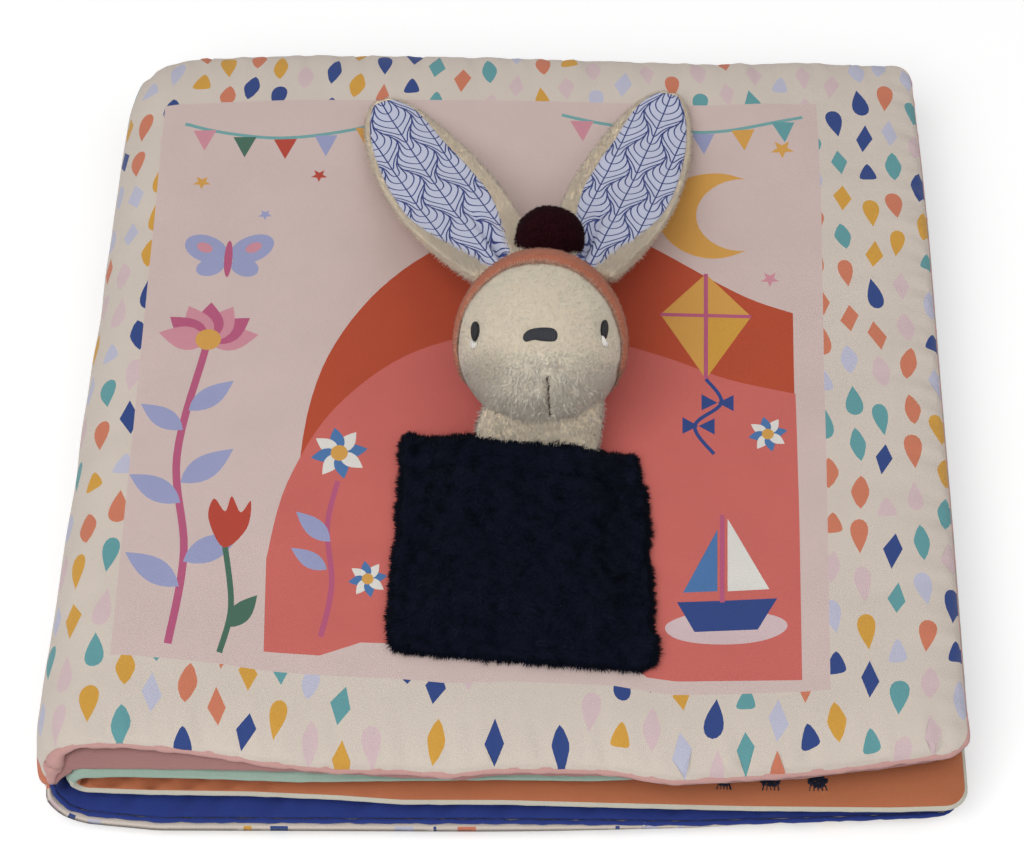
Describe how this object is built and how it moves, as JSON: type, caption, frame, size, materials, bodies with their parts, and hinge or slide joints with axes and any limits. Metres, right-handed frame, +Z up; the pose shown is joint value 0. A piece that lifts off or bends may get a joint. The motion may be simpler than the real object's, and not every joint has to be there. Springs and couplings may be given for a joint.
{
  "type": "cloth book",
  "caption": "Square padded cloth book, folded shut, with soft leaves inside and a plush rabbit tucked into a plush pocket on its printed front cover.",
  "frame": {"origin": "middle of the closed book, on the surface it lies on", "axes": "+X from the spine fold to the fore edge, +Y from the reader to the far edge, +Z up"},
  "size_m": [0.2234, 0.233, 0.0703],
  "materials": {
    "print_cotton": "matt printed woven polyester, padded behind",
    "pink_lining": "matt woven lining",
    "blue_lining": "matt woven lining",
    "page_fabric": "matt printed woven polyester, padded behind",
    "navy_plush": "short pile plush",
    "cream_plush": "short pile plush",
    "coral_plush": "very short pile plush",
    "maroon_wool": "dense yarn pompom",
    "dark_thread": "satin stitched thread",
    "ear_cotton": "matt printed cotton"
  },
  "bodies": {
    "book": {"back_cover": "print_cotton", "back_cover_lining": "blue_lining", "pages": "page_fabric"},
    "front": {"front_cover": "print_cotton", "front_cover_lining": "pink_lining", "pocket": "navy_plush", "rabbit_body": "cream_plush", "rabbit_head": "cream_plush", "rabbit_hood": "coral_plush", "nose": "dark_thread", "eye_left": "dark_thread", "eye_right": "dark_thread", "ear_left": "cream_plush", "ear_right": "cream_plush", "ear_lining_left": "ear_cotton", "ear_lining_right": "ear_cotton", "pompom": "maroon_wool"}
  },
  "joints": [
    {"name": "front_cover_hinge", "type": "hinge", "parent": "book", "child": "front", "pos_m": [-0.11175, 0, 0.0137], "axis": [0, -1, 0], "range_deg": [0, 155]}
  ]
}
